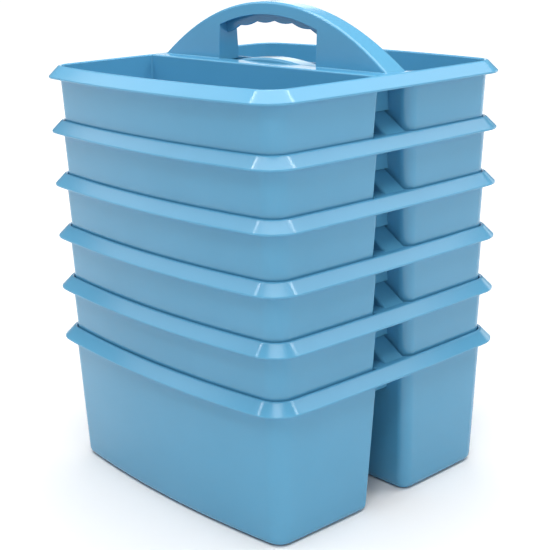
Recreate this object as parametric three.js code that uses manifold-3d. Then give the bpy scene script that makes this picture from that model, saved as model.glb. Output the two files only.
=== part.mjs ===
// Stack of six nested one-piece moulded cleaning caddies.
// Millimetres, +Z up. X runs along the handle, -Y is the side of the large front bin.
// The origin is at the middle of the footprint, on the floor under the lowest caddy.
import * as THREE from "three";
import { mergeVertices } from "three/addons/utils/BufferGeometryUtils.js";
import Module from "manifold-3d";

// ---- Stack -------------------------------------------------------------------------
const CADDIES = 6;
const PITCH = 36.7; // height step from one nested caddy to the next

// ---- Overall form of one caddy -----------------------------------------------------
const OVERALL_X = 235.0; // across the rim, along the handle
const OVERALL_Y = 228.6; // across the rim, across the handle
const RIM_TOP = 98.0; // floor to the flat top of the rim
const HANDLE_RISE = 39.4; // rim top to the crown of the handle
const RIM_CORNER_R = 21.7;
const RIM_ARC_R_X = 2600; // plan curvature of the +X and -X sides
const RIM_ARC_R_Y = 712; // plan curvature of the front and back sides

// ---- Rim flange, sloping out and down at 45 degrees --------------------------------
const FLANGE_DROP = 8.0; // rim top to the tip
const FLANGE_TIP = 1.2; // height of the vertical tip face
const SHEET = 1.4; // thickness of the rim, the ledge and the outer walls
const WALL_IN = 7.3; // tip to the outer face of the wall, at the rim

// ---- Bins --------------------------------------------------------------------------
const FOOT_X = 210.0; // across the bottom, at mid-side
const FOOT_Y = 203.8;
const FOOT_CORNER_R = 11.5;
const FOOT_ARC_R_X = 3200;
const FOOT_ARC_R_Y = 742;
const FLOOR = 2.2; // thickness of the bin floors
const BOTTOM_R = 5.0; // outer bend between wall and floor
const INNER_BOTTOM_R = 3.8;
const GAP_WALL = 1.5; // walls on both sides of the central gap
const GAP_DRAFT = 0.0535; // run per rise of every wall beside the gap
const GAP_FRONT = -13.2; // gap face of the front bin, at the rim top
const GAP_BACK = 13.1; // gap face of the back bin, at the rim top
const FRONT_GAP_R = 3.0; // upright bend beside the gap, front bin
const BACK_GAP_R = 8.0; // upright bend beside the gap, back bin
const EDGE_EASE = 1.2; // eased inner edge at the top of the bins

// ---- Handle ------------------------------------------------------------------------
const HANDLE_Y = 5.35; // middle of the handle
const HANDLE_FOOT_W = 18.2; // width over the side walls, at the rim top
const HANDLE_HALF = 106.5; // middle to where the arch meets the rim top
const ARCH_POWER = 2.08; // 2 would be a plain parabola
const HANDLE_WALL = 1.5;
const CROWN_EASE = 2.2; // bend between the crown and the side walls
const HOLE_HALF = 46.8; // finger hole, middle to its upright ends
const HOLE_CROWN = 31.0; // rim top to the top of the finger hole, in the middle
const HOLE_SHOULDER = 22.8; // rim top to the top of the finger hole, at its ends
const RIB_W = 2.2; // finger-grip rib inside the grip
const RIB_HANG = 4.4; // how far it hangs below the edge of the hole, between bumps
const RIB_PITCH = 17.0; // from bump to bump
const RIB_BUMP = 1.5; // depth of the bumps

// ---- Short walls across both ends of the gap; they stand on the handle below --------
const END_WALL_X = 90.5; // middle to the inner face
const END_WALL_DROP = 25.0; // rim top to the lower edge
const HOLLOW_HALF = 101.0; // middle to the end of the hollow in the handle

const BLUE = 0x74a9d8;

const wasm = await Module();
wasm.setup();

// ---- Solid helpers -----------------------------------------------------------------
function toManifold(geometry) {
  geometry.deleteAttribute("normal");
  geometry.deleteAttribute("uv");
  const g = mergeVertices(geometry, 1e-5);
  return new wasm.Manifold(
    new wasm.Mesh({
      numProp: 3,
      vertProperties: new Float32Array(g.attributes.position.array),
      triVerts: new Uint32Array(g.index.array),
    }),
  );
}

// Closed skin over rings of equal point count; each ring is a list of [x, y, z].
function skin(rings) {
  const n = rings[0].length;
  const positions = rings.flat(2);
  const index = [];
  for (let k = 0; k + 1 < rings.length; k++) {
    for (let i = 0; i < n; i++) {
      const j = (i + 1) % n;
      const a = k * n + i;
      const b = k * n + j;
      index.push(a, b, b + n, a, b + n, a + n);
    }
  }
  const cap = (ring, offset, flip) => {
    const plan = flatten(ring);
    for (const tri of THREE.ShapeUtils.triangulateShape(plan, [])) {
      const [a, b, c] = tri;
      index.push(offset + a, offset + (flip ? c : b), offset + (flip ? b : c));
    }
  };
  cap(rings[0], 0, true);
  cap(rings[rings.length - 1], (rings.length - 1) * n, false);
  const geometry = new THREE.BufferGeometry();
  geometry.setAttribute("position", new THREE.Float32BufferAttribute(positions, 3));
  geometry.setIndex(index);
  return toManifold(geometry);
}

// The two coordinates in which a ring is flat and runs anticlockwise.
function flatten(ring) {
  const sameX = ring.every((p) => Math.abs(p[0] - ring[0][0]) < 1e-6);
  return ring.map((p) => (sameX ? new THREE.Vector2(p[1], p[2]) : new THREE.Vector2(p[0], p[1])));
}

// Profile of [x, z] points, anticlockwise as seen from -Y, pushed through from y0 to y1.
function throughY(profile, y0, y1) {
  const shape = new THREE.Shape(profile.map(([x, z]) => new THREE.Vector2(x, z)));
  const g = new THREE.ExtrudeGeometry(shape, { depth: y1 - y0, bevelEnabled: false });
  g.rotateX(Math.PI / 2);
  g.translate(0, y1, 0);
  return toManifold(g);
}

function box(x0, x1, y0, y1, z0, z1) {
  const g = new THREE.BoxGeometry(x1 - x0, y1 - y0, z1 - z0);
  g.translate((x0 + x1) / 2, (y0 + y1) / 2, (z0 + z1) / 2);
  return toManifold(g);
}

function arc(cx, cy, r, from, to, steps) {
  const points = [];
  for (let i = 0; i <= steps; i++) {
    const a = from + ((to - from) * i) / steps;
    points.push([cx + r * Math.cos(a), cy + r * Math.sin(a)]);
  }
  return points;
}

// ---- Plan outlines -----------------------------------------------------------------
// A section is a rectangle with slightly bowed sides: half sizes at mid-side, the
// radius of each side's bow, and the corner radius.
function rimSection(inset) {
  return {
    x: OVERALL_X / 2 - inset,
    y: OVERALL_Y / 2 - inset,
    rx: RIM_ARC_R_X - inset,
    ry: RIM_ARC_R_Y - inset,
    r: RIM_CORNER_R - inset,
  };
}

// Outer face of the bin walls at height z, moved inward by inset.
function wallSection(z, inset) {
  const top = rimSection(WALL_IN);
  const k = z / RIM_TOP;
  const mix = (foot, rim) => foot + (rim - foot) * k;
  return {
    x: mix(FOOT_X / 2, top.x) - inset,
    y: mix(FOOT_Y / 2, top.y) - inset,
    rx: mix(FOOT_ARC_R_X, top.rx) - inset,
    ry: mix(FOOT_ARC_R_Y, top.ry) - inset,
    r: mix(FOOT_CORNER_R, top.r) - inset,
  };
}

// Middle of the corner bend in the quadrant +X +Y, and the two directions it spans.
function corner(s) {
  const ax = s.x - s.rx;
  const ay = s.y - s.ry;
  const d = Math.hypot(ax, ay);
  const p = s.rx - s.r;
  const q = s.ry - s.r;
  const along = (p * p - q * q + d * d) / (2 * d);
  const off = Math.sqrt(p * p - along * along);
  const ux = -ax / d;
  const uy = ay / d;
  const cx = ax + along * ux - off * uy;
  const cy = along * uy + off * ux;
  return { cx, cy, from: Math.atan2(cy, cx - ax), to: Math.atan2(cy - ay, cx) };
}

function mirrored(points) {
  return points.map(([x, y]) => [-x, y]).reverse();
}

// Full outline, anticlockwise.
function rimOutline(s) {
  const c = corner(s);
  const side = arc(s.x - s.rx, 0, s.rx, 0, c.from, 2);
  const bend = arc(c.cx, c.cy, s.r, c.from, c.to, 5);
  const back = arc(0, s.y - s.ry, s.ry, c.to, Math.PI / 2, 4);
  const quarter = [...side, ...bend.slice(1), ...back.slice(1)];
  const half = [...quarter, ...mirrored(quarter).slice(1)];
  const other = half.slice(1, -1).map(([x, y]) => [-x, -y]);
  return [...half, ...other];
}

// Outline of one bin on the +Y side of a gap face, anticlockwise.
function binOutline(s, gap, gapR) {
  const c = corner(s);
  const ax = s.x - s.rx;
  const gy = gap + gapR;
  const gx = ax + Math.sqrt((s.rx - gapR) ** 2 - gy * gy);
  const from = Math.atan2(gy, gx - ax);
  const gapBend = arc(gx, gy, gapR, -Math.PI / 2, from, 3);
  const side = arc(ax, 0, s.rx, from, c.from, 3);
  const bend = arc(c.cx, c.cy, s.r, c.from, c.to, 4);
  const far = arc(0, s.y - s.ry, s.ry, c.to, Math.PI / 2, 4);
  const half = [...gapBend, ...side.slice(1), ...bend.slice(1), ...far.slice(1)];
  return [...half, ...mirrored(half).slice(1)];
}

// Distance from y = 0 to a gap face at height z; way is -1 for the front bin.
function gapFace(way, z) {
  const atRim = way < 0 ? -GAP_FRONT : GAP_BACK;
  return atRim + (RIM_TOP - z) * GAP_DRAFT;
}

// One bin, or the room in it, from rows of [z, inset of the walls, inset of the gap wall].
function bin(way, rows, baseR) {
  const rings = rows.map(([z, inset, gapInset]) => {
    const gapR = Math.max(baseR - Math.max(inset, gapInset), 0.8);
    const outline = binOutline(wallSection(z, inset), gapFace(way, z) + gapInset, gapR);
    const turned = way < 0 ? outline.map(([x, y]) => [-x, -y]) : outline;
    return turned.map(([x, y]) => [x, y, z]);
  });
  return skin(rings);
}

function binOutside(way) {
  const r = way < 0 ? FRONT_GAP_R : BACK_GAP_R;
  const rows = [
    [0, BOTTOM_R, BOTTOM_R],
    [BOTTOM_R * 0.29, BOTTOM_R * 0.29, BOTTOM_R * 0.29],
    [BOTTOM_R, 0, 0],
    [RIM_TOP - SHEET / 2, 0, 0],
  ];
  return bin(way, rows, r);
}

function binRoom(way) {
  const r = way < 0 ? FRONT_GAP_R : BACK_GAP_R;
  const gapEase = way < 0 ? EDGE_EASE : 0;
  const bend = INNER_BOTTOM_R;
  const rows = [
    [FLOOR, SHEET + bend, GAP_WALL + bend],
    [FLOOR + bend * 0.29, SHEET + bend * 0.29, GAP_WALL + bend * 0.29],
    [FLOOR + bend, SHEET, GAP_WALL],
    [RIM_TOP - EDGE_EASE, SHEET, GAP_WALL],
    [RIM_TOP, SHEET - EDGE_EASE, GAP_WALL - gapEase],
    [RIM_TOP + 1, SHEET - EDGE_EASE, GAP_WALL - gapEase + (way < 0 ? 0 : GAP_DRAFT)],
  ];
  return bin(way, rows, r);
}

// Rim plate with its flange, as one sheet.
function rim() {
  const slope = FLANGE_DROP - FLANGE_TIP;
  const ring = (inset, z) => rimOutline(rimSection(inset)).map(([x, y]) => [x, y, z]);
  const over = skin([
    ring(0, RIM_TOP - FLANGE_DROP),
    ring(0, RIM_TOP - slope),
    ring(slope, RIM_TOP),
  ]);
  const underTop = RIM_TOP - SHEET;
  const underRise = FLANGE_DROP - SHEET;
  const under = skin([
    ring(FLANGE_TIP - 1, RIM_TOP - FLANGE_DROP - 1),
    ring(FLANGE_TIP + underRise, underTop),
  ]);
  return over.subtract(under);
}

// ---- Handle ------------------------------------------------------------------------
function archZ(x) {
  const k = Math.abs(x) / HANDLE_HALF;
  return RIM_TOP + HANDLE_RISE * (1 - k ** ARCH_POWER);
}

function archTilt(x) {
  const k = Math.abs(x) / HANDLE_HALF;
  const slope = (HANDLE_RISE * ARCH_POWER * k ** (ARCH_POWER - 1)) / HANDLE_HALF;
  return Math.hypot(1, slope);
}

// Arch of the handle, from its foot at z0; shrink is the wall taken off inside.
function arch(half, z0, shrink, ease, stations) {
  const rings = [];
  for (let i = 0; i <= stations; i++) {
    const x = half * Math.sin((Math.PI / 2) * ((2 * i) / stations - 1));
    const top = Math.max(archZ(x) - shrink * archTilt(x), z0 + 1.2);
    const e = Math.min(ease, (top - z0) * 0.8);
    const w = (z) => HANDLE_FOOT_W / 2 - shrink * 0.94 - (z - RIM_TOP) * GAP_DRAFT;
    const right = [
      [w(z0), z0],
      [w(top - e), top - e],
      [w(top) - e * 0.29, top - e * 0.29],
      [w(top) - e, top],
    ];
    const left = right.map(([y, z]) => [-y, z]).reverse();
    rings.push([...right, ...left].map(([y, z]) => [x, HANDLE_Y + y, z]));
  }
  return skin(rings);
}

// Upper edge of the finger hole.
function holeZ(x) {
  const k = Math.abs(x) / HOLE_HALF;
  return RIM_TOP + HOLE_CROWN - (HOLE_CROWN - HOLE_SHOULDER) * k ** 2.1;
}

function fingerHole(y0, y1) {
  const profile = [
    [-HOLE_HALF, RIM_TOP],
    [HOLE_HALF, RIM_TOP],
  ];
  for (let i = 0; i <= 12; i++) {
    const x = HOLE_HALF * (1 - i / 6);
    profile.push([x, holeZ(x)]);
  }
  return throughY(profile, y0, y1);
}

// Scalloped rib in the grip; its upper edge stays inside the crown.
function fingerRib() {
  const half = HOLE_HALF + HANDLE_WALL / 2;
  const lower = [];
  const steps = 44;
  for (let i = 0; i <= steps; i++) {
    const x = -half + (2 * half * i) / steps;
    const bump = RIB_BUMP * Math.abs(Math.sin((Math.PI * x) / RIB_PITCH));
    lower.push([x, holeZ(Math.min(Math.abs(x), HOLE_HALF)) - RIB_HANG - bump]);
  }
  const upper = [];
  for (let i = 0; i <= 10; i++) {
    const x = half * (1 - i / 5);
    upper.push([x, archZ(x) - HANDLE_WALL * 0.6 * archTilt(x)]);
  }
  return throughY([...lower, ...upper], HANDLE_Y - RIB_W / 2, HANDLE_Y + RIB_W / 2);
}

// Upright wall inside the handle, from side wall to side wall, starting at x = from.
function crossWall(side, from) {
  const x0 = side > 0 ? from : -from - HANDLE_WALL;
  const x1 = x0 + HANDLE_WALL;
  const top = archZ(from + HANDLE_WALL) - HANDLE_WALL * 0.5;
  const at = (x, z) => {
    const w = HANDLE_FOOT_W / 2 - HANDLE_WALL / 2 - (z - RIM_TOP) * GAP_DRAFT;
    return [
      [x, HANDLE_Y - w, z],
      [x, HANDLE_Y + w, z],
    ];
  };
  const z0 = RIM_TOP - SHEET;
  const ring = (x) => [...at(x, z0), ...at(x, top).reverse()];
  return skin([ring(x0), ring(x1)]);
}

function endWall(side) {
  const x0 = side > 0 ? END_WALL_X : -END_WALL_X - HANDLE_WALL;
  const z0 = RIM_TOP - END_WALL_DROP;
  return box(x0, x0 + HANDLE_WALL, GAP_FRONT - 1.4, GAP_BACK + 2, z0, RIM_TOP - SHEET / 2);
}

// ---- One caddy ---------------------------------------------------------------------
function caddySolid() {
  const shell = rim()
    .add(binOutside(-1))
    .add(binOutside(1))
    .add(endWall(-1))
    .add(endWall(1))
    .subtract(binRoom(-1))
    .subtract(binRoom(1));
  const hollow = arch(HOLLOW_HALF, RIM_TOP - SHEET - 0.4, HANDLE_WALL, 1.0, 18);
  return shell
    .add(arch(HANDLE_HALF + 1.2, RIM_TOP - 1.2, 0, CROWN_EASE, 22))
    .subtract(hollow)
    .subtract(fingerHole(HANDLE_Y - 12, HANDLE_Y + 12))
    .add(fingerRib())
    .add(crossWall(-1, HOLE_HALF))
    .add(crossWall(1, HOLE_HALF))
    .add(crossWall(-1, END_WALL_X))
    .add(crossWall(1, END_WALL_X));
}

function toGeometry(solid) {
  const mesh = solid.getMesh();
  const g = new THREE.BufferGeometry();
  g.setAttribute("position", new THREE.BufferAttribute(new Float32Array(mesh.vertProperties), 3));
  g.setIndex(new THREE.BufferAttribute(new Uint32Array(mesh.triVerts), 1));
  g.computeVertexNormals();
  return g;
}

const group = new THREE.Group();
group.name = "caddy_stack";
const solid = caddySolid();
for (let i = 0; i < CADDIES; i++) {
  const geometry = toGeometry(solid);
  geometry.translate(0, 0, PITCH * i);
  const plastic = new THREE.MeshStandardMaterial({ color: BLUE, roughness: 0.4, metalness: 0 });
  const caddy = new THREE.Mesh(geometry, plastic);
  caddy.name = `caddy_${i + 1}`;
  group.add(caddy);
}

export default group;
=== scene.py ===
import math

import bmesh
import bpy
from mathutils import Matrix, Vector


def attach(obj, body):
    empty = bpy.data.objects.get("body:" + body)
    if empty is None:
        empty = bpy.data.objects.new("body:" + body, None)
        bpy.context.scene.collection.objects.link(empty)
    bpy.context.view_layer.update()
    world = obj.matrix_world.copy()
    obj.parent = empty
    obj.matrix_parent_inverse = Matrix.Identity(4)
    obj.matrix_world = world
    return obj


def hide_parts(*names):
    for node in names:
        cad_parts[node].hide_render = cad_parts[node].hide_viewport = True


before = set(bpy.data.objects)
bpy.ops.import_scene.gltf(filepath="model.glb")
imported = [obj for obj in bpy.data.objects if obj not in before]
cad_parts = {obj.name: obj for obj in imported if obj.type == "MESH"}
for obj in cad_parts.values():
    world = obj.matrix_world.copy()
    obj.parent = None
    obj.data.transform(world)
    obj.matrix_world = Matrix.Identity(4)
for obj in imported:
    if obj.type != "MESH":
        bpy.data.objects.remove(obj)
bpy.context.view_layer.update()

# The visual model of a stack of six nested cleaning caddies. One caddy is built in
# millimetres from the CAD part's dimensions, with finer edges, and placed six times.
# X runs along the handle, -Y is the side of the large front bin, Z is up.
MM = 0.001  # metres

# ---- Stack -------------------------------------------------------------------------
CADDIES = 6
PITCH = 36.7  # height step from one nested caddy to the next

# ---- Overall form of one caddy -----------------------------------------------------
OVERALL_X = 235.0  # across the rim, along the handle
OVERALL_Y = 228.6  # across the rim, across the handle
RIM_TOP = 98.0  # underside to the flat top of the rim
HANDLE_RISE = 39.4  # rim top to the crown of the handle
RIM_CORNER_R = 21.7
RIM_ARC_R_X = 2600.0  # plan radius of the slightly bowed +X and -X sides
RIM_ARC_R_Y = 712.0  # plan radius of the bowed front and back sides

# ---- Rim flange, sloping out and down at 45 degrees --------------------------------
FLANGE_DROP = 8.0  # rim top to the lower edge of the tip
FLANGE_TIP = 1.2  # height of the upright tip face
SHEET = 1.4  # thickness of the rim, the ledge and the outer walls
WALL_IN = 7.3  # tip to the outer face of the wall, at the rim
TIP_LOW_R = 0.5  # bends of the flange's section, from the tip upwards
TIP_HIGH_R = 0.7
RIM_BEND_R = 2.2
UNDER_BEND_R = 1.0  # bend between the flange's underside and the rim's
TIP_FLAT = 1.0  # level stretch at the foot of the tip
TOP_FLAT = 3.0  # level stretch on top, and the one on the underside
UNDER_FLAT = 2.0

# ---- Bins --------------------------------------------------------------------------
FOOT_X = 210.0  # across the bottom, at mid-side
FOOT_Y = 203.8
FOOT_CORNER_R = 11.5
FOOT_ARC_R_X = 3200.0
FOOT_ARC_R_Y = 742.0
FLOOR = 2.2  # thickness of the bin floors
BOTTOM_R = 5.0  # outer bend between wall and floor
INNER_BOTTOM_R = 3.8
GAP_WALL = 1.5  # thickness of the walls on both sides of the central gap
GAP_DRAFT = 0.0535  # run per rise of those walls and of the handle's sides
GAP_FRONT = -13.2  # gap face of the front bin, at the rim top
GAP_BACK = 13.1  # gap face of the back bin, at the rim top
FRONT_GAP_R = 3.0  # upright bend beside the gap, front bin
BACK_GAP_R = 8.0  # upright bend beside the gap, back bin
LEAST_GAP_R = 0.8  # the same bends, where the floor's bend has drawn them in
EDGE_EASE = 1.2  # eased inner edge at the top of the bins
WALL_LEVELS = (30, 60)  # heights at which the walls get a row of points
OVERCUT = 1.0  # how far a cutter passes the face that it opens

# ---- Handle ------------------------------------------------------------------------
HANDLE_Y = 5.35  # middle of the handle
HANDLE_FOOT_W = 18.2  # width over the side walls, at the rim top
HANDLE_HALF = 106.5  # middle to where the arch meets the rim top
ARCH_POWER = 2.08  # 2 would be a plain parabola
ARCH_SINK = 1.2  # how far the arch reaches into the rim
ARCH_FOOT_R = 0.5  # fillet between the arch and the rim
LEAST_FOOT_R = 0.02  # the same, where the arch runs out
FOOT_SHARE = 0.5  # the fillet's largest share of the arch's height above the rim
END_HEIGHT = 1.2  # height of the arch's section at its two ends
EASE_SHARE = 0.8  # the crown bend's largest share of the section's height
HANDLE_WALL = 1.5  # thickness of the crown
CROWN_EASE = 1.9  # bend between the crown and the side walls
HOLLOW_HALF = 101.0  # middle to the end of the hollow in the handle
HOLLOW_EASE = 1.0
HOLLOW_SINK = 0.4  # how far the hollow passes the underside of the rim
SIDE_SHARE = 0.94  # thickness of the side walls, as a share of the crown's
HOLE_HALF = 46.8  # finger hole, middle to its upright ends
HOLE_CROWN = 31.0  # rim top to the top of the finger hole, in the middle
HOLE_SHOULDER = 22.8  # rim top to the top of the finger hole, at its ends
HOLE_POWER = 2.1  # power of the curve between them
HOLE_EASE = 0.35  # eased edge round the finger hole
HOLE_CLEAR = 4.0  # how far the hole's cutter starts outside the side walls
RIB_W = 2.2  # thickness of the finger-grip rib inside the handle
RIB_HANG = 4.4  # how far it hangs below the edge of the hole, between bumps
RIB_PITCH = 17.0  # from bump to bump
RIB_BUMP = 1.5  # depth of the bumps
RIB_ROOT = 0.6  # outside of the crown to the rib's top, as a share of the crown's thickness
# half of the rib's rounded lower edge: share of the half width, height above the lowest line
RIB_EDGE = ((1.0, 0.8), (0.9, 0.3), (0.6, 0.06), (0.2, 0.0))

# ---- Short walls across both ends of the gap ---------------------------------------
END_WALL_X = 90.5  # middle to the inner face
END_WALL_DROP = 25.0  # rim top to the lower edge
END_WALL_EASE = 0.4
END_WALL_BEND = (0.3, 0.25)  # middle point of the eased edge, as shares of the easing
END_WALL_REACH_FRONT = 1.4  # how far the walls reach into the bins' walls
END_WALL_REACH_BACK = 2.0

# ---- How finely round stretches are divided ----------------------------------------
RIM_SIDE_STEPS = 6
RIM_CORNER_STEPS = 14
BIN_SIDE_STEPS = 8
BIN_CORNER_STEPS = 12
GAP_CORNER_STEPS = 8
GAP_FACE_STEPS = 12
FRONT_STEPS = 12
BEND_STEPS = 6
EDGE_STEPS = 5
HOLE_EDGE_STEPS = 4
ARCH_STATIONS = 64
HOLLOW_STATIONS = 48
HOLE_STEPS = 40
RIB_LOW_STEPS = 120
RIB_HIGH_STEPS = 20

# ---- Surface -----------------------------------------------------------------------
SHARP_ANGLE = 32  # degrees; edges that turn more stay sharp
NORMAL_WEIGHT = 90  # how far the large faces lead the small ones
IOR = 1.49
COLOUR_DEEP = (0.084, 0.318, 0.512, 1)
COLOUR_PALE = (0.094, 0.338, 0.540, 1)
ROUGHNESS = (0.15, 0.19)
GRAIN_ROUGHNESS = 0.015
# noises: scale, detail, roughness
CLOUD = (9.0, 3.0, 0.5)
GRAIN = (1400.0, 2.0, 0.6)
FLOW = (28.0, 2.0, 0.5)
# the middle stretch of a noise that is used
CLOUD_SPAN = (0.35, 0.65)
MARK_SPAN = (0.3, 0.7)
# bumps: strength, distance
GRAIN_BUMP = (0.04, 0.0002)
FLOW_BUMP = (0.12, 0.0006)
NOISE_SHIFT = (0.37, 0.11, 0.23)  # per caddy, so that no two have the same marks

# ---- Camera ------------------------------------------------------------------------
SENSOR = 36  # millimetres, as the lens
LENS = 78.152727
SHIFT_X = 0.0454545
SHIFT_Y = -0.0509091
CAMERA_AT = (0.58448, -0.54116, 0.36625)  # metres
CAMERA_AZIMUTH = 48.35  # degrees from -Y towards +X
CAMERA_ELEVATION = 14.86
CAMERA_ROLL = -1.41
CAMERA_REACH = 100  # metres

# ---- Studio, in metres and watts ---------------------------------------------------
FLOOR_SIZE = 60
FLOOR_GREY = 0.84
FLOOR_ROUGHNESS = 0.9
GLOW_START = 0.5  # distance from the middle at which the floor begins to glow
GLOW_FULL = 2.0
GLOW = 0.80
WORLD = 0.30
# name: place, aim, size, power
LIGHTS = {
    "over": ((0, 0, 1.7), (0, 0, 0.2), (1.6, 1.6), 31),
    "left": ((-1.07, -0.47, 1.16), (0, -0.1, 0.2), (0.8, 0.7), 2.8),
    "back": ((0.47, 0.97, 1.26), (0.1, 0, 0.2), (0.8, 0.7), 3.6),
    "front_left": ((0.1, -1.5, 1.4), (0, 0, 0.2), (1.0, 0.8), 1.5),
    "front_right": ((1.6, -0.4, 0.85), (0, 0, 0.2), (0.6, 0.6), 3),
    "front": ((0.85, -0.95, 1.6), (0, 0, 0.2), (0.45, 0.45), 8),
    "edge": ((0.1, 1.7, 0.4), (0, 0, 0.2), (0.6, 0.7), 2),
    "far": ((-1.3, 1.15, 0.75), (0, 0, 0.3), (0.7, 0.5), 2),
}
# two broken strips of small lights, which the rims' corners mirror as thin streaks
STRIPS = {
    "left": ((-0.56, -0.9, 1.31), (-0.72, -0.5, 1.59)),
    "right": ((0.86, 0.62, 1.3), (0.44, 0.77, 1.6)),
}
STRIP_LIGHTS = 4
STRIP_AIM = (0.1, -0.1, 0.2)
STRIP_SIZE = (0.1, 0.1)
STRIP_POWER = 0.6


# ---- Plan outlines -----------------------------------------------------------------
def arc(cx, cy, r, start, end, steps):
    out = []
    for i in range(steps + 1):
        a = start + (end - start) * i / steps
        out.append((cx + r * math.cos(a), cy + r * math.sin(a)))
    return out


def rim_section(inset):
    return {
        "x": OVERALL_X / 2 - inset,
        "y": OVERALL_Y / 2 - inset,
        "rx": RIM_ARC_R_X - inset,
        "ry": RIM_ARC_R_Y - inset,
        "r": RIM_CORNER_R - inset,
    }


def wall_section(z, inset):
    """Section of the tapered walls at a height, between the foot and the rim."""
    top = rim_section(WALL_IN)
    foot = {
        "x": FOOT_X / 2,
        "y": FOOT_Y / 2,
        "rx": FOOT_ARC_R_X,
        "ry": FOOT_ARC_R_Y,
        "r": FOOT_CORNER_R,
    }
    k = z / RIM_TOP
    return {key: foot[key] + (top[key] - foot[key]) * k - inset for key in top}


def corner(s):
    """Centre of the corner arc that touches both side arcs, and its two end angles."""
    ax = s["x"] - s["rx"]
    ay = s["y"] - s["ry"]
    d = math.hypot(ax, ay)
    p = s["rx"] - s["r"]
    q = s["ry"] - s["r"]
    along = (p * p - q * q + d * d) / (2 * d)
    off = math.sqrt(p * p - along * along)
    ux, uy = -ax / d, ay / d
    cx = ax + along * ux - off * uy
    cy = along * uy + off * ux
    return cx, cy, math.atan2(cy, cx - ax), math.atan2(cy - ay, cx)


def mirrored(points):
    return [(-x, y) for x, y in reversed(points)]


def rim_outline(s):
    cx, cy, start, end = corner(s)
    quarter = arc(s["x"] - s["rx"], 0, s["rx"], 0, start, RIM_SIDE_STEPS)
    quarter += arc(cx, cy, s["r"], start, end, RIM_CORNER_STEPS)[1:]
    quarter += arc(0, s["y"] - s["ry"], s["ry"], end, math.pi / 2, FRONT_STEPS)[1:]
    half = quarter + mirrored(quarter)[1:]
    return half + [(-x, -y) for x, y in half[1:-1]]


def bin_outline(s, gap, gap_r):
    """Outline of one bin on the +Y side of a straight gap face."""
    cx, cy, start, end = corner(s)
    ax = s["x"] - s["rx"]
    gy = gap + gap_r
    gx = ax + math.sqrt((s["rx"] - gap_r) ** 2 - gy * gy)
    turn = math.atan2(gy, gx - ax)
    half = arc(gx, gy, gap_r, -math.pi / 2, turn, GAP_CORNER_STEPS)
    half += arc(ax, 0, s["rx"], turn, start, BIN_SIDE_STEPS)[1:]
    half += arc(cx, cy, s["r"], start, end, BIN_CORNER_STEPS)[1:]
    half += arc(0, s["y"] - s["ry"], s["ry"], end, math.pi / 2, FRONT_STEPS)[1:]
    left = mirrored(half)[1:]
    # the straight gap face gets points of its own, so that its faces stay square
    x0, x1 = left[-1][0], half[0][0]
    y0 = half[0][1]
    face = [(x0 + (x1 - x0) * i / GAP_FACE_STEPS, y0) for i in range(1, GAP_FACE_STEPS)]
    return half + left + face


def gap_face(way, z):
    at_rim = -GAP_FRONT if way < 0 else GAP_BACK
    return at_rim + (RIM_TOP - z) * GAP_DRAFT


# ---- Mesh helpers ------------------------------------------------------------------
def quarter_turn(steps):
    """Angles from zero to a right angle."""
    return [math.pi / 2 * k / steps for k in range(steps + 1)]


def rounded(points, steps=5):
    """A polyline of (a, b, radius) with its corners rounded to that radius."""
    out = []
    for i, (a, b, r) in enumerate(points):
        here = Vector((a, b))
        if r <= 0 or i in (0, len(points) - 1):
            out.append((a, b))
            continue
        before = (Vector(points[i - 1][:2]) - here).normalized()
        after = (Vector(points[i + 1][:2]) - here).normalized()
        half = before.angle(after) / 2
        reach = r / math.tan(half)
        centre = here + (before + after).normalized() * (r / math.sin(half))
        p = here + before * reach - centre
        q = here + after * reach - centre
        sweep = p.angle(q)
        turn = 1 if p.x * q.y - p.y * q.x > 0 else -1
        base = math.atan2(p.y, p.x)
        for k in range(steps + 1):
            t = base + turn * sweep * k / steps
            out.append((centre.x + r * math.cos(t), centre.y + r * math.sin(t)))
    return out


def skin(rings):
    """Closed mesh over rings of equal point count, with flat ends."""
    bm = bmesh.new()
    rows = [[bm.verts.new(p) for p in ring] for ring in rings]
    n = len(rows[0])
    for low, high in zip(rows, rows[1:]):
        for i in range(n):
            j = (i + 1) % n
            bm.faces.new((low[i], low[j], high[j], high[i]))
    bm.faces.new(list(reversed(rows[0])))
    bm.faces.new(rows[-1])
    bmesh.ops.recalc_face_normals(bm, faces=bm.faces)
    mesh = bpy.data.meshes.new("skin")
    bm.to_mesh(mesh)
    bm.free()
    return mesh


def combine(base, steps):
    """Booleans in order: (operation, mesh)."""
    body = bpy.data.objects.new("body", base)
    bpy.context.scene.collection.objects.link(body)
    tools = []
    for operation, mesh in steps:
        tool = bpy.data.objects.new("tool", mesh)
        bpy.context.scene.collection.objects.link(tool)
        tools.append(tool)
        m = body.modifiers.new("step", "BOOLEAN")
        m.operation = operation
        m.solver = "MANIFOLD"
        m.object = tool
    bpy.context.view_layer.update()
    graph = bpy.context.evaluated_depsgraph_get()
    result = bpy.data.meshes.new_from_object(body.evaluated_get(graph))
    for o in tools + [body]:
        bpy.data.objects.remove(o)
    return result


# ---- Bins and rim ------------------------------------------------------------------
def bin_mesh(way, rows):
    """One bin's skin; way is -1 for the front bin and 1 for the back bin."""
    base_r = FRONT_GAP_R if way < 0 else BACK_GAP_R
    rings = []
    for inset, gap_inset, z in rows:
        gap_r = max(base_r - max(inset, gap_inset), LEAST_GAP_R)
        plan = bin_outline(wall_section(z, inset), gap_face(way, z) + gap_inset, gap_r)
        rings.append([(x, y * way, z) for x, y in plan])
    if way < 0:
        rings = [list(reversed(ring)) for ring in rings]
    return skin(rings)


def bin_outside(way):
    rows = []
    for t in quarter_turn(BEND_STEPS):
        inset = BOTTOM_R * (1 - math.sin(t))
        rows.append((inset, inset, BOTTOM_R * (1 - math.cos(t))))
    rows += [(0, 0, z) for z in (*WALL_LEVELS, RIM_TOP - SHEET / 2)]
    return bin_mesh(way, rows)


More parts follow.
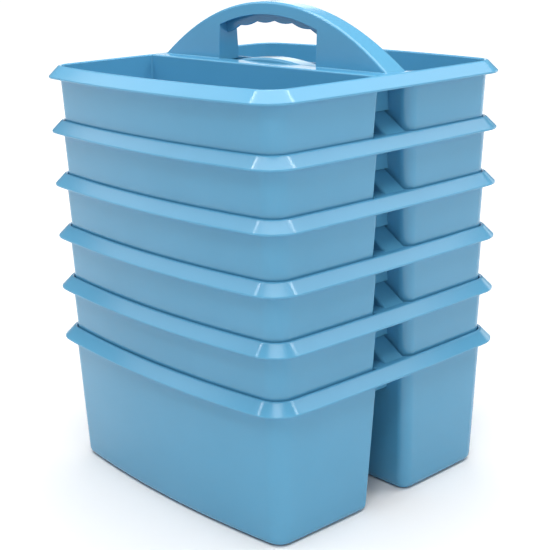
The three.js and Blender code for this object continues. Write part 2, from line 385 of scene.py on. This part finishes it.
def bin_room(way):
    """Cutter for a bin's room, with its upper edge eased all round."""
    rows = []
    for t in quarter_turn(BEND_STEPS):
        inset = INNER_BOTTOM_R * (1 - math.sin(t))
        rows.append((SHEET + inset, GAP_WALL + inset, FLOOR + INNER_BOTTOM_R * (1 - math.cos(t))))
    rows += [(SHEET, GAP_WALL, z) for z in (*WALL_LEVELS, RIM_TOP - EDGE_EASE)]
    # the handle stands on the back bin's gap wall, so that edge stays square
    eased_gap = 1 if way < 0 else 0
    for t in quarter_turn(EDGE_STEPS)[1:]:
        out = EDGE_EASE * (1 - math.cos(t))
        z = RIM_TOP - EDGE_EASE * (1 - math.sin(t))
        rows.append((SHEET - out, GAP_WALL - out * eased_gap, z))
    upright = GAP_WALL - EDGE_EASE * eased_gap + GAP_DRAFT * OVERCUT * (1 - eased_gap)
    rows.append((SHEET - EDGE_EASE, upright, RIM_TOP + OVERCUT))
    return bin_mesh(way, rows)


def rim_mesh():
    """The flange's upper skin as a solid, and the cutter that hollows it from below."""
    slope = FLANGE_DROP - FLANGE_TIP
    low = RIM_TOP - FLANGE_DROP
    over = rounded([
        (TIP_FLAT, low, 0),
        (0, low, TIP_LOW_R),
        (0, low + FLANGE_TIP, TIP_HIGH_R),
        (slope, RIM_TOP, RIM_BEND_R),
        (slope + TOP_FLAT, RIM_TOP, 0),
    ])
    bend = FLANGE_TIP + FLANGE_DROP - SHEET
    under = rounded([
        (FLANGE_TIP - OVERCUT, low - OVERCUT, 0),
        (bend, RIM_TOP - SHEET, UNDER_BEND_R),
        (bend + UNDER_FLAT, RIM_TOP - SHEET, 0),
    ])

    def ring(inset, z):
        return [(x, y, z) for x, y in rim_outline(rim_section(inset))]

    return skin([ring(*row) for row in over]), skin([ring(*row) for row in under])


# ---- Handle ------------------------------------------------------------------------
def arch_z(x):
    return RIM_TOP + HANDLE_RISE * (1 - (abs(x) / HANDLE_HALF) ** ARCH_POWER)


def arch_tilt(x):
    """Height through the arch for one millimetre square to it."""
    k = abs(x) / HANDLE_HALF
    return math.hypot(1, HANDLE_RISE * ARCH_POWER * k ** (ARCH_POWER - 1) / HANDLE_HALF)


def side_w(z, shrink=0.0):
    """Half width of the handle at a height."""
    return HANDLE_FOOT_W / 2 - shrink - (z - RIM_TOP) * GAP_DRAFT


def arch_mesh(half, z0, shrink, ease, foot, stations):
    """The handle's arch, or the hollow in it where shrink is its wall thickness."""
    rings = []

    def w(z):
        return side_w(z, shrink * SIDE_SHARE)

    for i in range(stations + 1):
        x = half * math.sin(math.pi / 2 * (2 * i / stations - 1))
        top = max(arch_z(x) - shrink * arch_tilt(x), z0 + END_HEIGHT)
        e = min(ease, (top - z0) * EASE_SHARE)
        bend = []
        for t in quarter_turn(BEND_STEPS):
            z = top - e * (1 - math.sin(t))
            bend.append((w(z) - e * (1 - math.cos(t)), z))
        back = [(w(z0), z0)] + bend
        front = [(-y, z) for y, z in reversed(bend)]
        if foot:
            r = min(foot, max((top - RIM_TOP) * FOOT_SHARE, LEAST_FOOT_R))
            for t in quarter_turn(EDGE_STEPS):
                z = RIM_TOP + r * (1 - math.sin(t))
                front.append((-w(z) - r * (1 - math.cos(t)), z))
            front.append((-w(RIM_TOP) - r, z0))
        else:
            front.append((-w(z0), z0))
        rings.append([(x, HANDLE_Y + y, z) for y, z in back + front])
    return skin(rings)


def hole_z(x):
    """Upper edge of the finger hole."""
    k = min(abs(x) / HOLE_HALF, 1)
    return RIM_TOP + HOLE_CROWN - (HOLE_CROWN - HOLE_SHOULDER) * k**HOLE_POWER


def hole_mesh():
    """Cutter for the finger hole; it flares at the outer faces, which eases the hole's edges."""

    def ring(way, deep, grow):
        reach = HOLE_HALF + grow
        points = [(-reach, RIM_TOP), (reach, RIM_TOP)]
        for i in range(HOLE_STEPS + 1):
            x = reach * (1 - 2 * i / HOLE_STEPS)
            points.append((x, hole_z(x) + grow))
        return [(x, HANDLE_Y + way * (side_w(z) - deep), z) for x, z in points]

    def side(way):
        rings = [ring(way, -HOLE_CLEAR, HOLE_EASE)]
        for t in quarter_turn(HOLE_EDGE_STEPS):
            deep = HOLE_EASE * (1 - math.cos(t))
            rings.append(ring(way, deep, HOLE_EASE * (1 - math.sin(t))))
        return rings

    return skin(side(-1) + side(1)[::-1])


def rib_mesh():
    """The scalloped finger rib under the crown."""
    half = HOLE_HALF + HANDLE_WALL / 2

    def ring(y, lift):
        points = []
        for i in range(RIB_LOW_STEPS + 1):
            x = -half + 2 * half * i / RIB_LOW_STEPS
            bump = RIB_BUMP * abs(math.sin(math.pi * x / RIB_PITCH))
            points.append((x, y, hole_z(x) - RIB_HANG - bump + lift))
        for i in range(RIB_HIGH_STEPS + 1):
            x = half * (1 - 2 * i / RIB_HIGH_STEPS)
            points.append((x, y, arch_z(x) - HANDLE_WALL * RIB_ROOT * arch_tilt(x)))
        return points

    w = RIB_W / 2
    rows = [(-w * share, lift) for share, lift in RIB_EDGE]
    rows += [(w * share, lift) for share, lift in reversed(RIB_EDGE)]
    return skin([ring(HANDLE_Y + y, lift) for y, lift in rows])


def cross_wall(side, start):
    """Upright wall inside the handle, from side wall to side wall."""
    x0 = start if side > 0 else -start - HANDLE_WALL
    z0 = RIM_TOP - SHEET
    top = arch_z(start + HANDLE_WALL) - HANDLE_WALL / 2
    low_w = side_w(z0, HANDLE_WALL / 2)
    top_w = side_w(top, HANDLE_WALL / 2)
    section = [(-low_w, z0), (low_w, z0), (top_w, top), (-top_w, top)]
    return skin([[(x, HANDLE_Y + y, z) for y, z in section] for x in (x0, x0 + HANDLE_WALL)])


def end_wall(side):
    """Wall across one end of the gap, with its lower edges eased."""
    x0 = END_WALL_X if side > 0 else -END_WALL_X - HANDLE_WALL
    x1 = x0 + HANDLE_WALL
    z0 = RIM_TOP - END_WALL_DROP
    z1 = RIM_TOP - SHEET / 2
    e = END_WALL_EASE
    in_x, up_z = (e * share for share in END_WALL_BEND)
    profile = [(x0, z1), (x0, z0 + e), (x0 + in_x, z0 + up_z), (x0 + e, z0)]
    profile += [(x1 - e, z0), (x1 - in_x, z0 + up_z), (x1, z0 + e), (x1, z1)]
    ends = (GAP_FRONT - END_WALL_REACH_FRONT, GAP_BACK + END_WALL_REACH_BACK)
    return skin([[(x, y, z) for x, z in profile] for y in ends])


# ---- The moulding ------------------------------------------------------------------
def handle_mesh():
    return arch_mesh(HANDLE_HALF + ARCH_SINK, RIM_TOP - ARCH_SINK, 0, CROWN_EASE, ARCH_FOOT_R,
                     ARCH_STATIONS)


def hollow_mesh():
    return arch_mesh(HOLLOW_HALF, RIM_TOP - SHEET - HOLLOW_SINK, HANDLE_WALL, HOLLOW_EASE, 0,
                     HOLLOW_STATIONS)


def caddy_mesh():
    over, under = rim_mesh()
    mesh = combine(over, [
        ("DIFFERENCE", under),
        ("UNION", bin_outside(-1)),
        ("UNION", bin_outside(1)),
        ("UNION", end_wall(-1)),
        ("UNION", end_wall(1)),
        ("DIFFERENCE", bin_room(-1)),
        ("DIFFERENCE", bin_room(1)),
        ("UNION", handle_mesh()),
        ("DIFFERENCE", hollow_mesh()),
        ("DIFFERENCE", hole_mesh()),
        ("UNION", rib_mesh()),
        ("UNION", cross_wall(-1, HOLE_HALF)),
        ("UNION", cross_wall(1, HOLE_HALF)),
        ("UNION", cross_wall(-1, END_WALL_X)),
        ("UNION", cross_wall(1, END_WALL_X)),
    ])
    mesh.transform(Matrix.Scale(MM, 4))
    return mesh


def smooth(obj):
    """Smooth faces, split at real edges, with the large faces leading."""
    for face in obj.data.polygons:
        face.use_smooth = True
    obj.data.set_sharp_from_angle(angle=math.radians(SHARP_ANGLE))
    m = obj.modifiers.new("normals", "WEIGHTED_NORMAL")
    m.keep_sharp = True
    m.weight = NORMAL_WEIGHT


# ---- Plastic -----------------------------------------------------------------------
def plastic(index):
    """Glossy moulded polypropylene, with its marks in other places on each caddy."""
    mat = bpy.data.materials.new(f"polypropylene_{index}")
    mat.use_nodes = True
    nodes, links = mat.node_tree.nodes, mat.node_tree.links
    shader = nodes["Principled BSDF"]
    shader.inputs["IOR"].default_value = IOR

    place = nodes.new("ShaderNodeTexCoord")
    shift = nodes.new("ShaderNodeMapping")
    shift.inputs["Location"].default_value = [step * index for step in NOISE_SHIFT]
    links.new(place.outputs["Object"], shift.inputs["Vector"])

    def noise(scale, detail, rough):
        n = nodes.new("ShaderNodeTexNoise")
        n.inputs["Scale"].default_value = scale
        n.inputs["Detail"].default_value = detail
        n.inputs["Roughness"].default_value = rough
        links.new(shift.outputs["Vector"], n.inputs["Vector"])
        return n

    def ramp(source, span, low, high):
        r = nodes.new("ShaderNodeMapRange")
        r.inputs["From Min"].default_value, r.inputs["From Max"].default_value = span
        r.inputs["To Min"].default_value = low
        r.inputs["To Max"].default_value = high
        links.new(source.outputs["Fac"], r.inputs["Value"])
        return r.outputs["Result"]

    def bump(source, strength, distance):
        b = nodes.new("ShaderNodeBump")
        b.inputs["Strength"].default_value = strength
        b.inputs["Distance"].default_value = distance
        links.new(source.outputs["Fac"], b.inputs["Height"])
        return b

    # slow pigment variation of the resin; a colour mix has A, B and its result at 6, 7 and 2
    cloud = noise(*CLOUD)
    colour = nodes.new("ShaderNodeMix")
    colour.data_type = "RGBA"
    colour.inputs[6].default_value = COLOUR_DEEP
    colour.inputs[7].default_value = COLOUR_PALE
    links.new(ramp(cloud, CLOUD_SPAN, 0, 1), colour.inputs[0])
    links.new(colour.outputs[2], shader.inputs["Base Color"])

    # fine tool grain, with broad flow marks
    grain = noise(*GRAIN)
    flow = noise(*FLOW)
    mix = nodes.new("ShaderNodeMath")
    mix.operation = "ADD"
    links.new(ramp(grain, MARK_SPAN, -GRAIN_ROUGHNESS, GRAIN_ROUGHNESS), mix.inputs[0])
    links.new(ramp(flow, MARK_SPAN, *ROUGHNESS), mix.inputs[1])
    links.new(mix.outputs[0], shader.inputs["Roughness"])

    texture = bump(grain, *GRAIN_BUMP)
    wave = bump(flow, *FLOW_BUMP)
    links.new(texture.outputs["Normal"], wave.inputs["Normal"])
    links.new(wave.outputs["Normal"], shader.inputs["Normal"])
    return mat


def build_stack():
    shape = caddy_mesh()
    for i in range(1, CADDIES + 1):
        obj = bpy.data.objects.new(f"caddy_shell_{i}", shape.copy())
        bpy.context.scene.collection.objects.link(obj)
        obj.location.z = PITCH * (i - 1) * MM
        obj.data.materials.clear()
        obj.data.materials.append(plastic(i))
        smooth(obj)
        bpy.context.view_layer.update()
        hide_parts(f"caddy_{i}")
        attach(obj, f"caddy_{i}")


# ---- Camera, lights, floor ---------------------------------------------------------
def camera():
    data = bpy.data.cameras.new("camera")
    data.sensor_width = SENSOR
    data.sensor_fit = "HORIZONTAL"
    data.lens = LENS
    data.shift_x = SHIFT_X
    data.shift_y = SHIFT_Y
    data.clip_end = CAMERA_REACH
    obj = bpy.data.objects.new("camera", data)
    bpy.context.scene.collection.objects.link(obj)
    azimuth = math.radians(CAMERA_AZIMUTH)
    elevation = math.radians(CAMERA_ELEVATION)
    roll = math.radians(CAMERA_ROLL)
    level = Vector((math.sin(azimuth), -math.cos(azimuth), 0))
    back = level * math.cos(elevation) + Vector((0, 0, math.sin(elevation)))
    right = Vector((math.cos(azimuth), math.sin(azimuth), 0))
    up = back.cross(right)
    rolled_right = right * math.cos(roll) + up * math.sin(roll)
    rolled_up = -right * math.sin(roll) + up * math.cos(roll)
    place = Matrix((rolled_right, rolled_up, back)).transposed().to_4x4()
    place.translation = Vector(CAMERA_AT)
    obj.matrix_world = place
    bpy.context.scene.camera = obj


def area(name, at, towards, size, power):
    data = bpy.data.lights.new(name, "AREA")
    data.shape = "RECTANGLE"
    data.size, data.size_y = size
    data.energy = power
    obj = bpy.data.objects.new(name, data)
    bpy.context.scene.collection.objects.link(obj)
    obj.location = at
    obj.rotation_euler = (Vector(towards) - Vector(at)).to_track_quat("-Z", "Y").to_euler()


def strips():
    for k in range(STRIP_LIGHTS):
        for side, (first, last) in STRIPS.items():
            at = Vector(first).lerp(Vector(last), k / (STRIP_LIGHTS - 1))
            area(f"strip_{side}_{k}", at, STRIP_AIM, STRIP_SIZE, STRIP_POWER)


def floor_plane():
    """A pale floor, which glows a little further out, as a lit backdrop does."""
    bpy.ops.mesh.primitive_plane_add(size=FLOOR_SIZE, location=(0, 0, 0))
    floor = bpy.context.object
    floor.name = "floor"
    mat = bpy.data.materials.new("floor")
    mat.use_nodes = True
    nodes, links = mat.node_tree.nodes, mat.node_tree.links
    shader = nodes["Principled BSDF"]
    shader.inputs["Base Color"].default_value = (FLOOR_GREY, FLOOR_GREY, FLOOR_GREY, 1)
    shader.inputs["Roughness"].default_value = FLOOR_ROUGHNESS
    place = nodes.new("ShaderNodeTexCoord")
    reach = nodes.new("ShaderNodeVectorMath")
    reach.operation = "LENGTH"
    links.new(place.outputs["Object"], reach.inputs[0])
    glow = nodes.new("ShaderNodeMapRange")
    glow.inputs["From Min"].default_value = GLOW_START
    glow.inputs["From Max"].default_value = GLOW_FULL
    glow.inputs["To Max"].default_value = GLOW
    links.new(reach.outputs["Value"], glow.inputs["Value"])
    shader.inputs["Emission Color"].default_value = (1, 1, 1, 1)
    links.new(glow.outputs["Result"], shader.inputs["Emission Strength"])
    floor.data.materials.append(mat)


def studio():
    floor_plane()
    world = bpy.data.worlds.new("world")
    bpy.context.scene.world = world
    world.use_nodes = True
    sky = world.node_tree.nodes["Background"]
    sky.inputs["Color"].default_value = (1, 1, 1, 1)
    sky.inputs["Strength"].default_value = WORLD
    for name, light in LIGHTS.items():
        area(name, *light)
    strips()
    bpy.context.scene.view_settings.view_transform = "Standard"


build_stack()
camera()
studio()
